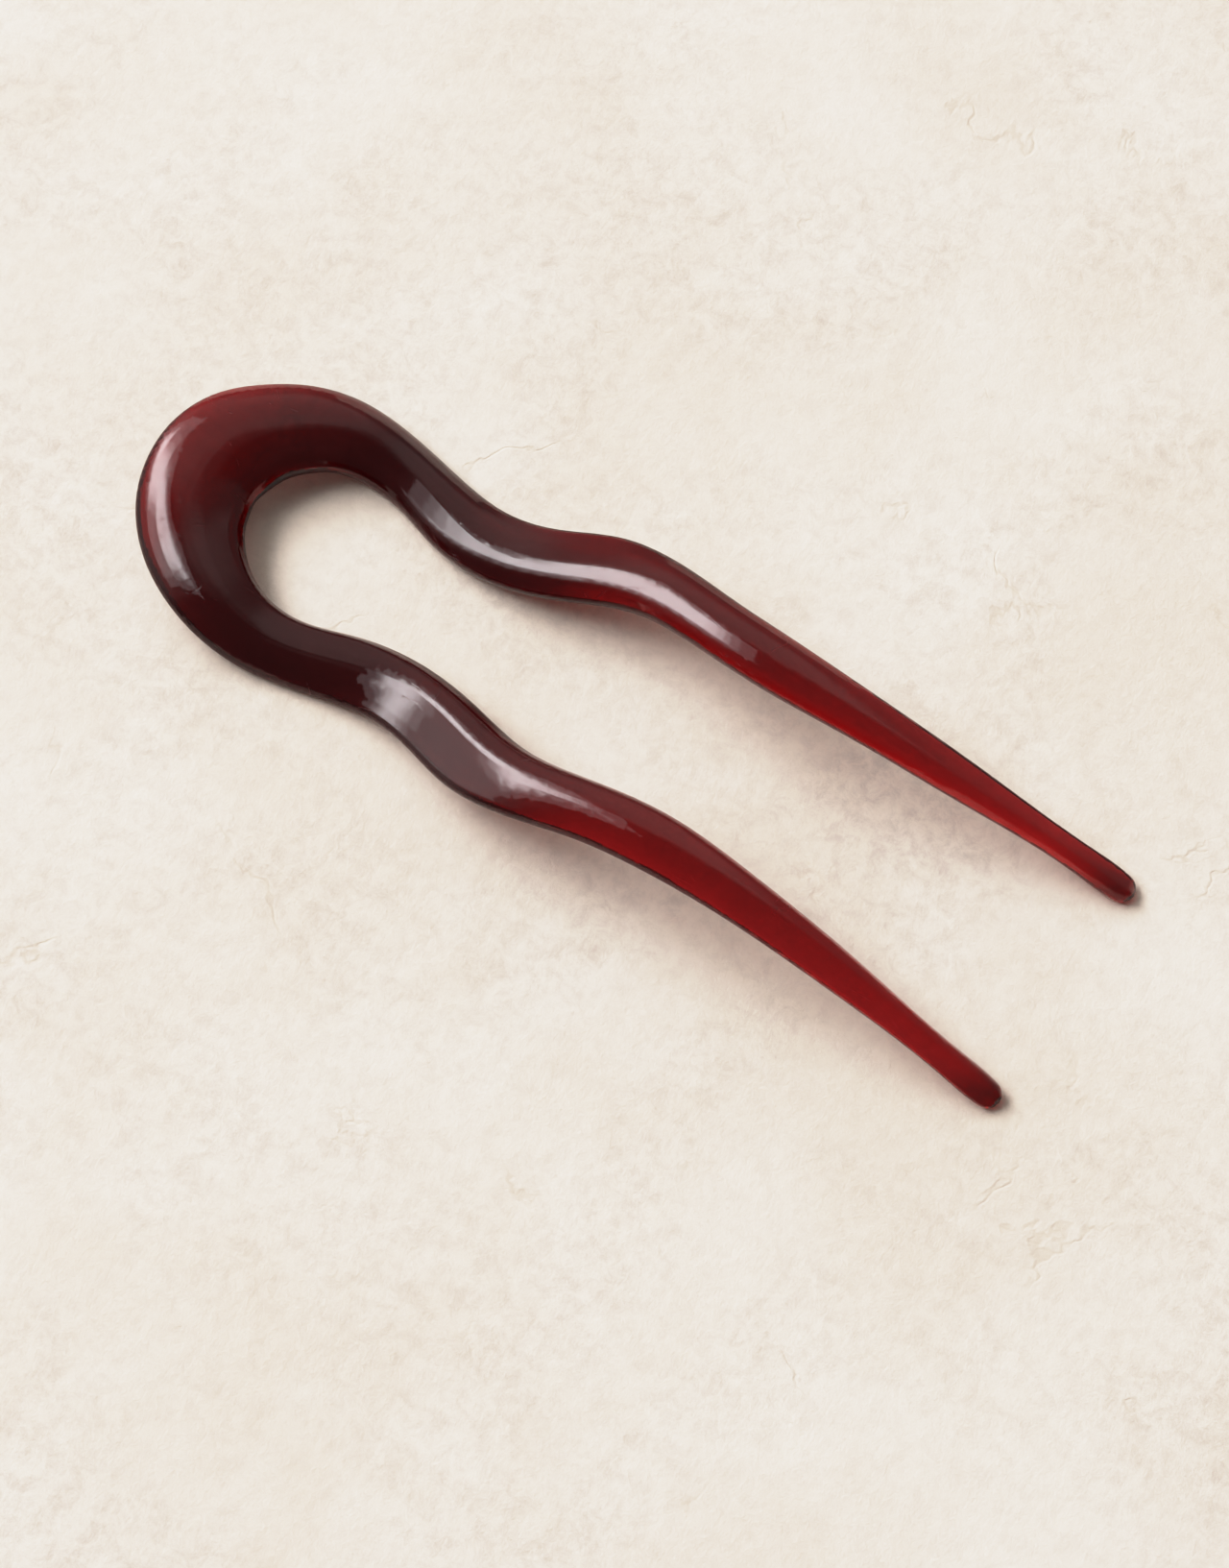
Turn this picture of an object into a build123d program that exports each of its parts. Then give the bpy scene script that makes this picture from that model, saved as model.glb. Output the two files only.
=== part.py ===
from build123d import *
from math import cos, hypot, radians, sin
import os

# French hair pin in one piece of acetate: a broad looped crown that runs into two waved,
# tapering legs. The crown points to -X and the tips to +X, and the two sides of Y = 0
# mirror each other. The origin lies under the middle of the pin, on the surface that it
# rests on. From the side it is a soft S: the crown lifts, the necks of the legs touch
# the surface, the legs bow up, and the tips come down to the surface again.

# Driving dimensions
LENGTH = 127.0  # from the crown's outer edge to the leg tips
CROWN_HALF = 18.5  # from the middle line to the crown's outer side
BAND = 13.9  # width of the crown's band at the very end of the loop
SHEET = 4.6  # thickness of the crown's band at its ridge
BOW = 11.0  # height of the legs' rim at the top of their bow
ROOF_SHARE_LEG = 0.50  # share of a leg's thickness that lies above its rim
ROOF_SHARE_CROWN = 0.68  # the same share in the crown's band
TIP_STEPS = (30, 52, 70, 83)  # angles at which the rounded tip's sections stand

# Stations from the end of the crown to the tip of one leg. Each row is a section:
# its middle along the pin (share of LENGTH) and out from the middle line (share of
# CROWN_HALF), the height of its rim (share of BOW), its width (share of BAND), its
# thickness (share of SHEET), and how flat its inner slope is (1 flat band, 0 roof).
#   along, out, rise, width, thickness, flat
STATIONS = [
    (0.054, 0.000, 0.484, 0.998, 1.00, 0.85),
    (0.065, 0.301, 0.440, 0.974, 1.00, 0.95),
    (0.083, 0.472, 0.408, 0.900, 1.00, 0.83),
    (0.105, 0.599, 0.382, 0.822, 1.00, 0.80),
    (0.143, 0.724, 0.296, 0.704, 1.00, 0.97),
    (0.184, 0.757, 0.172, 0.620, 0.98, 1.00),
    (0.228, 0.714, 0.131, 0.586, 0.95, 0.97),
    (0.276, 0.630, 0.158, 0.630, 0.93, 0.77),
    (0.319, 0.600, 0.249, 0.645, 0.92, 0.25),
    (0.376, 0.662, 0.407, 0.664, 0.92, 0.00),
    (0.434, 0.781, 0.605, 0.664, 0.92, 0.14),
    (0.487, 0.808, 0.758, 0.576, 0.92, 0.50),
    (0.547, 0.761, 0.909, 0.527, 0.90, 0.55),
    (0.614, 0.719, 0.989, 0.522, 0.86, 0.68),
    (0.709, 0.720, 0.939, 0.442, 0.78, 0.45),
    (0.827, 0.751, 0.681, 0.346, 0.68, 0.08),
    (0.945, 0.796, 0.286, 0.263, 0.58, 0.00),
    (0.986, 0.808, 0.124, 0.252, 0.56, 0.00),
]


def lerp(roof_value, band_value, flat):
    """Value between that of the roof-shaped leg and that of the flat crown band."""
    return roof_value + (band_value - roof_value) * flat


def section_corners(width, thickness, flat):
    """Corners of a section, with the share of each corner's sides that its round takes.

    X runs outwards from the loop and Y up, and the rim is at Y = 0.
    """
    half = width / 2
    roof = thickness * lerp(ROOF_SHARE_LEG, ROOF_SHARE_CROWN, flat)
    belly = thickness - roof
    return [
        (half, -0.45 * belly, 0.40),
        (half, 0.0, 0.44),
        (lerp(0.92, 0.87, flat) * half, lerp(0.16, 0.31, flat) * roof, 0.44),
        (lerp(0.37, 0.45, flat) * half, lerp(0.56, 0.89, flat) * roof, 0.48),
        (lerp(-0.26, -0.04, flat) * half, roof, 0.25),
        (-lerp(0.69, 0.79, flat) * half, 0.70 * roof, 0.34),
        (-half, lerp(-0.05, 0.25, flat) * roof, 0.30),
        (-half, -0.50 * belly, 0.40),
        (-0.74 * half, -belly, 0.40),
        (0.70 * half, -belly, 0.40),
    ]


def unit(start, end):
    """Unit vector from one corner to the next, and the distance between them."""
    dx, dy = end[0] - start[0], end[1] - start[1]
    size = hypot(dx, dy)
    return dx / size, dy / size, size


def rounded_outline(corners):
    """Draws a closed outline of short lines and tangent arcs round the given corners."""
    joints = []
    for i, corner in enumerate(corners):
        ax, ay, a_size = unit(corner, corners[i - 1])
        bx, by, b_size = unit(corner, corners[(i + 1) % len(corners)])
        reach = corner[2] * min(a_size, b_size)
        # the arc's middle lies on the corner's bisector
        half_cos = hypot(ax + bx, ay + by) / 2
        half_sin = (1 - half_cos**2) ** 0.5
        depth = reach * (1 - half_sin) / half_cos
        mx, my = (ax + bx) / (2 * half_cos), (ay + by) / (2 * half_cos)
        joints.append(
            (
                (corner[0] + ax * reach, corner[1] + ay * reach),
                (corner[0] + mx * depth, corner[1] + my * depth),
                (corner[0] + bx * reach, corner[1] + by * reach),
            )
        )
    for i, (start, middle, end) in enumerate(joints):
        ThreePointArc(start, middle, end)
        Line(end, joints[(i + 1) % len(joints)][0])


def centre(row, side):
    """Middle of a station's rim level, on the +Y side (1) or the -Y side (-1)."""
    along, out, rise = row[:3]
    return Vector(
        along * LENGTH - LENGTH / 2, side * out * CROWN_HALF, rise * BOW
    )


def sheet_normal(number):
    """Upright direction of the bent sheet at a station: the sheet leans only along the pin."""
    before = STATIONS[max(number - 1, 0)]
    after = STATIONS[min(number + 1, len(STATIONS) - 1)]
    slope = (after[2] - before[2]) * BOW / ((after[0] - before[0]) * LENGTH)
    return Vector(-slope, 0, 1).normalized()


# The line through the stations, from the -Y tip round the crown to the +Y tip
last = len(STATIONS) - 1
path = [(number, -1) for number in range(last, 0, -1)]
path += [(number, 1) for number in range(last + 1)]
middles = [centre(STATIONS[number], side) for number, side in path]
with BuildLine() as middle_line:
    Spline(*middles)

# Section planes with their sizes: (plane, width, thickness, flat)
sections = []
for (number, side), middle in zip(path, middles):
    heading = middle_line.edges()[0].tangent_at(middle)
    outwards = sheet_normal(number).cross(heading)
    plane = Plane(origin=middle, x_dir=outwards, z_dir=heading)
    width, thickness, flat = STATIONS[number][3:]
    sections.append((plane, width * BAND, thickness * SHEET, flat))


def tip_sections(section, direction):
    """Sections that shrink along a quarter circle beyond a leg's last station."""
    plane, width, thickness, flat = section
    return [
        (
            plane.offset(direction * sin(radians(angle)) * width / 2),
            cos(radians(angle)) * width,
            cos(radians(angle)) * thickness,
            flat,
        )
        for angle in TIP_STEPS
    ]


sections = (
    tip_sections(sections[0], -1)[::-1] + sections + tip_sections(sections[-1], 1)
)

# Hair pin
with BuildPart() as hair_pin:
    for plane, width, thickness, flat in sections:
        with BuildSketch(plane):
            with BuildLine():
                rounded_outline(section_corners(width, thickness, flat))
            make_face()
    loft()
hair_pin.part.label = "hair_pin"

os.makedirs("parts", exist_ok=True)
export_step(hair_pin.part, "parts/hair_pin.step")
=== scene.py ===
"""French hair pin of translucent dark cherry acetate, lying on a pale plaster top in soft
window light. Metres, in the part's own frame: crown to -X, leg tips to +X, +Z up."""

import math

import bpy
from mathutils import Matrix, Vector


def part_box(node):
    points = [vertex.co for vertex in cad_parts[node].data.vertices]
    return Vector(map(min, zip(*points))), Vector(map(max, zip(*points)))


MM = 0.001

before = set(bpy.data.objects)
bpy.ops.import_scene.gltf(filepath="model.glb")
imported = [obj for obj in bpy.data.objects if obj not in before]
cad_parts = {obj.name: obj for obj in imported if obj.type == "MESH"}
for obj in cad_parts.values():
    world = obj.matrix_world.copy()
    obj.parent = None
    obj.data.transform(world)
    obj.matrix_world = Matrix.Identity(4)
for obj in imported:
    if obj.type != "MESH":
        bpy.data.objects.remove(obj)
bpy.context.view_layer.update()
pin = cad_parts["hair_pin"]
pin_low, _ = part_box("hair_pin")

# Camera: azimuth from +X towards +Y and elevation, both in degrees
CAMERA_AZIMUTH = -56.73
CAMERA_ELEVATION = 67.28
CAMERA_TARGET = Vector((6.38, -7.72, 5.0)) * MM
CAMERA_DISTANCE = 485.2 * MM
LENS = 64.05
SENSOR = 24.0
CLIP_START = 10 * MM


def towards(azimuth, elevation):
    """Unit vector that points out of the pin's middle at an azimuth and an elevation."""
    turn, rise = math.radians(azimuth), math.radians(elevation)
    return Vector(
        (
            math.cos(rise) * math.cos(turn),
            math.cos(rise) * math.sin(turn),
            math.sin(rise),
        )
    )


def add_camera():
    data = bpy.data.cameras.new("camera")
    data.sensor_fit = "VERTICAL"
    data.sensor_height = SENSOR
    data.lens = LENS
    data.clip_start = CLIP_START
    camera = bpy.data.objects.new("camera", data)
    bpy.context.scene.collection.objects.link(camera)
    out = towards(CAMERA_AZIMUTH, CAMERA_ELEVATION)
    camera.location = CAMERA_TARGET + out * CAMERA_DISTANCE
    camera.rotation_euler = out.to_track_quat("Z", "Y").to_euler()
    bpy.context.scene.camera = camera


# Materials
class Nodes:
    """A material with short calls for the nodes that its look is built of."""

    def __init__(self, name):
        self.material = bpy.data.materials.new(name)
        self.material.use_nodes = True
        self.tree = self.material.node_tree
        self.tree.nodes.clear()
        self.output = self.add("ShaderNodeOutputMaterial")

    def add(self, kind, **settings):
        node = self.tree.nodes.new(kind)
        for key, value in settings.items():
            setattr(node, key, value)
        return node

    def link(self, source, target):
        self.tree.links.new(source, target)

    def place(self, scale=(1, 1, 1), turn=(0, 0, 0), shift=(0, 0, 0)):
        """The part's own metres, stretched, turned and shifted."""
        mapping = self.add("ShaderNodeMapping")
        mapping.inputs["Location"].default_value = shift
        mapping.inputs["Rotation"].default_value = turn
        mapping.inputs["Scale"].default_value = scale
        where = self.add("ShaderNodeTexCoord")
        self.link(where.outputs["Object"], mapping.inputs["Vector"])
        return mapping.outputs["Vector"]

    def noise(self, place, scale, detail, roughness=0.5, distortion=0.0):
        """Cloudy value round 0.5, with scale as features per metre."""
        texture = self.add("ShaderNodeTexNoise")
        texture.inputs["Scale"].default_value = scale
        texture.inputs["Detail"].default_value = detail
        texture.inputs["Roughness"].default_value = roughness
        texture.inputs["Distortion"].default_value = distortion
        self.link(place, texture.inputs["Vector"])
        return texture.outputs["Fac"]

    def span(self, value, source, result):
        """Clamped, soft-ended map of a value from a source range to a result range."""
        node = self.add("ShaderNodeMapRange", interpolation_type="SMOOTHSTEP")
        for key, number in zip(
            ("From Min", "From Max", "To Min", "To Max"), (*source, *result)
        ):
            node.inputs[key].default_value = number
        self.link(value, node.inputs["Value"])
        return node.outputs["Result"]

    def maths(self, operation, *values):
        """Result of an operation on values, each a number or an output."""
        node = self.add("ShaderNodeMath", operation=operation)
        for socket, value in zip(node.inputs, values):
            if isinstance(value, (int, float)):
                socket.default_value = value
            else:
                self.link(value, socket)
        return node.outputs["Value"]

    def mix(self, factor, first, second):
        """Colour between two colours, each a triple or an output."""
        node = self.add("ShaderNodeMix", data_type="RGBA")
        self.link(factor, node.inputs[0])
        for socket, value in ((node.inputs[6], first), (node.inputs[7], second)):
            if isinstance(value, tuple):
                socket.default_value = (*value, 1)
            else:
                self.link(value, socket)
        return node.outputs[2]

    def bump(self, height, distance, strength, under=None):
        """Normal that a height gives, on top of the normal under it."""
        node = self.add("ShaderNodeBump")
        node.inputs["Strength"].default_value = strength
        node.inputs["Distance"].default_value = distance
        self.link(height, node.inputs["Height"])
        if under:
            self.link(under, node.inputs["Normal"])
        return node.outputs["Normal"]


# Acetate: what is transmitted through its surface, and the rest is the dye's faint
# milkiness; its tint in the crown and at the tips, where it is lighter as a painted glow
# of light through them, and the X between which that changes; the dye within it, with its
# density per metre
CLEARNESS = 0.95
ACETATE_IOR = 1.49
CROWN_TINT = (0.53, 0.06, 0.07)
# lighter tint at the tips: a painted glow of the light shining through them
TIP_GLOW_TINT = (1.0, 0.24, 0.24)
TINT_CHANGE = (-20 * MM, 62 * MM)
DYE_COLOUR = (0.77, 0.0, 0.10)
DYE_DENSITY = 1500
GLOSS = (0.02, 0.05)
SCRATCH_DULLNESS = 0.25


def acetate():
    """Clear acetate dyed dark cherry through its depth, with a tumbled, faintly worn gloss."""
    made = Nodes("cherry_acetate")
    skin = made.add("ShaderNodeBsdfPrincipled")
    skin.inputs["Transmission Weight"].default_value = CLEARNESS
    skin.inputs["IOR"].default_value = ACETATE_IOR
    # the colour is darker in the crown and lighter towards the tips, a painted glow of the
    # light through the thin tips, and is a little uneven
    split = made.add("ShaderNodeSeparateXYZ")
    made.link(made.place(), split.inputs["Vector"])
    painted_tip_glow = made.span(split.outputs["X"], TINT_CHANGE, (0.06, 0.94))
    cloud = made.noise(
        made.place(scale=(0.5, 1, 1), shift=(3, 1, 2)),
        scale=260,
        detail=3,
        roughness=0.55,
        distortion=0.4,
    )
    uneven = made.span(cloud, (0.35, 0.68), (-0.06, 0.06))
    tint = made.mix(made.maths("ADD", painted_tip_glow, uneven), CROWN_TINT, TIP_GLOW_TINT)
    made.link(tint, skin.inputs["Base Color"])
    # gloss: softer in patches, dull along fine scratches
    wear = made.noise(made.place(shift=(5, 2, 8)), scale=700, detail=5, roughness=0.6)
    gloss = made.span(wear, (0.3, 0.7), GLOSS)
    scratches = made.add("ShaderNodeTexVoronoi", feature="DISTANCE_TO_EDGE")
    scratches.inputs["Scale"].default_value = 160
    bent = made.place(scale=(0.35, 1, 1), turn=(0.2, 0.1, 0.6), shift=(1, 4, 2))
    made.link(bent, scratches.inputs["Vector"])
    line = made.span(scratches.outputs["Distance"], (0.0, 0.012), (1, 0))
    gaps = made.noise(made.place(shift=(9, 9, 1)), scale=240, detail=2)
    scratch = made.maths("MULTIPLY", line, made.span(gaps, (0.56, 0.64), (0, 1)))
    dullness = made.maths("MULTIPLY", scratch, SCRATCH_DULLNESS)
    made.link(made.maths("ADD", gloss, dullness), skin.inputs["Roughness"])
    # surface: soft waves from bending and tumbling, a fine grain and the scratches
    waves = made.noise(made.place(shift=(1, 7, 1)), scale=160, detail=2)
    grain = made.noise(made.place(shift=(5, 3, 3)), scale=2500, detail=3)
    groove = made.maths("MULTIPLY", scratch, -1.0)
    normal = made.bump(waves, distance=0.08 * MM, strength=0.5)
    normal = made.bump(grain, distance=0.01 * MM, strength=0.3, under=normal)
    normal = made.bump(groove, distance=0.02 * MM, strength=0.5, under=normal)
    made.link(normal, skin.inputs["Normal"])
    dye = made.add("ShaderNodeVolumeAbsorption")
    dye.inputs["Color"].default_value = (*DYE_COLOUR, 1)
    dye.inputs["Density"].default_value = DYE_DENSITY
    made.link(skin.outputs["BSDF"], made.output.inputs["Surface"])
    made.link(dye.outputs["Volume"], made.output.inputs["Volume"])
    return made.material


# Plaster: its cream where it is deepest and palest, its brownish mottling and its cracks
DEEP_CREAM = (0.83, 0.735, 0.635)
PALE_CREAM = (0.91, 0.823, 0.725)
MOTTLING = (0.58, 0.51, 0.46)
CRACKS = (0.62, 0.53, 0.44)
PLASTER_ROUGHNESS = 0.8


def plaster():
    """Pale cream plaster: faint clouds, brownish mottling, thin cracks and a fine grain."""
    made = Nodes("plaster")
    skin = made.add("ShaderNodeBsdfPrincipled")
    skin.inputs["Roughness"].default_value = PLASTER_ROUGHNESS
    clouds = made.noise(
        made.place(shift=(2, 1, 0)), scale=28, detail=6, roughness=0.62, distortion=0.3
    )
    tint = made.mix(made.span(clouds, (0.32, 0.68), (0, 1)), DEEP_CREAM, PALE_CREAM)
    # brownish mottling: patchy, and fine within each patch
    patches = made.noise(
        made.place(shift=(4, 7, 0)), scale=22, detail=4, roughness=0.6, distortion=0.8
    )
    specks = made.noise(
        made.place(shift=(3, 2, 0)), scale=380, detail=8, roughness=0.8, distortion=0.4
    )
    patch = made.span(patches, (0.40, 0.65), (0.35, 1))
    speck = made.span(specks, (0.38, 0.70), (0, 0.7))
    tint = made.mix(made.maths("MULTIPLY", patch, speck), tint, MOTTLING)
    # thin, broken cracks where a wandering height passes its middle
    wander = made.noise(
        made.place(shift=(6, 3, 0)), scale=18, detail=6, roughness=0.55, distortion=0.3
    )
    gaps = made.noise(made.place(shift=(8, 1, 0)), scale=60, detail=3)
    off_middle = made.maths("ABSOLUTE", made.maths("SUBTRACT", wander, 0.5))
    line = made.span(off_middle, (0.0, 0.007), (1, 0))
    crack = made.maths("MULTIPLY", line, made.span(gaps, (0.54, 0.66), (0, 0.35)))
    tint = made.mix(crack, tint, CRACKS)
    made.link(tint, skin.inputs["Base Color"])
    grain = made.noise(made.place(shift=(1, 1, 0)), scale=350, detail=8, roughness=0.7)
    groove = made.maths("MULTIPLY", crack, -1.0)
    normal = made.bump(grain, distance=0.4 * MM, strength=0.6)
    normal = made.bump(groove, distance=0.3 * MM, strength=0.5, under=normal)
    made.link(normal, skin.inputs["Normal"])
    made.link(skin.outputs["BSDF"], made.output.inputs["Surface"])
    return made.material


# Floor
FLOOR_SIZE = 3.0


def add_floor():
    """Plaster top, level with the lowest point of the pin."""
    half = FLOOR_SIZE / 2
    mesh = bpy.data.meshes.new("floor")
    corners = [(-half, -half, 0), (half, -half, 0), (half, half, 0), (-half, half, 0)]
    mesh.from_pydata(corners, [], [(0, 1, 2, 3)])
    mesh.materials.append(plaster())
    floor = bpy.data.objects.new("floor", mesh)
    floor.location.z = pin_low.z
    bpy.context.scene.collection.objects.link(floor)


# Light: the window as seen from the pin, in degrees, and its panels from its bright
# middle to its faint surround: half length and half width in degrees, radiance
WINDOW_AZIMUTH = 181.2
WINDOW_ELEVATION = 45.1
WINDOW_ROLL = 25.0
WINDOW_DISTANCE = 3.0
WINDOW_COLOUR = (1.0, 0.985, 1.0)
PANEL_GAP = 0.01
WINDOW_PANELS = [
    (15.5, 4.5, 1.2),
    (18.5, 7.0, 1.9),
    (21.5, 9.0, 2.2),
    (24.0, 11.0, 1.6),
    (27.0, 13.5, 0.9),
    (33.0, 19.0, 0.9),
]


def add_window():
    """Soft-edged window: panels of light, each behind the smaller one, that face the pin."""
    out = towards(WINDOW_AZIMUTH, WINDOW_ELEVATION)
    level = Vector((0, 0, 1)).cross(out).normalized()
    along = Matrix.Rotation(math.radians(WINDOW_ROLL), 3, out) @ level
    facing = Matrix((along, out.cross(along), out)).transposed().to_euler()
    for number, (half_length, half_width, radiance) in enumerate(WINDOW_PANELS):
        data = bpy.data.lights.new(f"window_{number}", "AREA")
        data.shape = "RECTANGLE"
        data.size = 2 * WINDOW_DISTANCE * math.tan(math.radians(half_length))
        data.size_y = 2 * WINDOW_DISTANCE * math.tan(math.radians(half_width))
        data.energy = radiance * math.pi * data.size * data.size_y
        data.color = WINDOW_COLOUR
        light = bpy.data.objects.new(f"window_{number}", data)
        light.location = out * (WINDOW_DISTANCE + PANEL_GAP * number)
        light.rotation_euler = facing
        bpy.context.scene.collection.objects.link(light)


# The room's light by direction: dark on the camera's side, and brighter round some
# directions. Each row is a direction in degrees, the cosines of the angles off it at
# which its light starts and is full, and how much light it adds.
#   azimuth, elevation, start, full, light
ROOM_COLOUR = (1.0, 0.95, 0.91)
ROOM_DARK = 0.09
ROOM_SIDES = [
    (125, 0, -0.08, 0.08, 0.12),  # the half of the room beyond the pin
    (125, 45, 0.75, 0.90, 0.40),  # the pale ceiling over it
    (188, 15, 0.60, 0.85, 0.45),  # the lit wall round the window
]


def add_room():
    """Dim room without walls: its light differs only by direction."""
    world = bpy.data.worlds.new("room")
    world.use_nodes = True
    nodes, links = world.node_tree.nodes, world.node_tree.links
    background = nodes["Background"]
    background.inputs["Color"].default_value = (*ROOM_COLOUR, 1)
    place = nodes.new("ShaderNodeTexCoord")
    level = nodes.new("ShaderNodeValue").outputs["Value"]
    level.default_value = ROOM_DARK
    for azimuth, elevation, start, full, light in ROOM_SIDES:
        side = nodes.new("ShaderNodeVectorMath")
        side.operation = "DOT_PRODUCT"
        side.inputs[1].default_value = towards(azimuth, elevation)
        links.new(place.outputs["Generated"], side.inputs[0])
        step = nodes.new("ShaderNodeMapRange")
        step.interpolation_type = "SMOOTHSTEP"
        step.inputs["From Min"].default_value = start
        step.inputs["From Max"].default_value = full
        step.inputs["To Max"].default_value = light
        links.new(side.outputs["Value"], step.inputs["Value"])
        total = nodes.new("ShaderNodeMath")
        total.operation = "ADD"
        links.new(step.outputs["Result"], total.inputs[0])
        links.new(level, total.inputs[1])
        level = total.outputs["Value"]
    links.new(level, background.inputs["Strength"])
    bpy.context.scene.world = world


# How a photograph bends the light's levels: (light, shown), both linear
LIGHT_TOP = 2.0
PRINT_CURVE = [
    (0.02, 0.018),
    (0.05, 0.049),
    (0.18, 0.210),
    (0.30, 0.380),
    (0.42, 0.575),
    (0.55, 0.755),
    (0.66, 0.838),
    (0.76, 0.880),
    (0.90, 0.918),
    (1.20, 0.965),
    (1.60, 0.990),
]


def set_print():
    """Standard colours with the soft shoulder and toe of a printed photograph."""
    view = bpy.context.scene.view_settings
    view.view_transform = "Standard"
    view.use_curve_mapping = True
    curves = view.curve_mapping
    curves.white_level = (LIGHT_TOP, LIGHT_TOP, LIGHT_TOP)
    combined = curves.curves[3]
    for light, shown in PRINT_CURVE:
        combined.points.new(light / LIGHT_TOP, shown)
    curves.update()


set_print()
add_camera()
add_floor()
pin.data.materials.clear()
pin.data.materials.append(acetate())
add_window()
add_room()
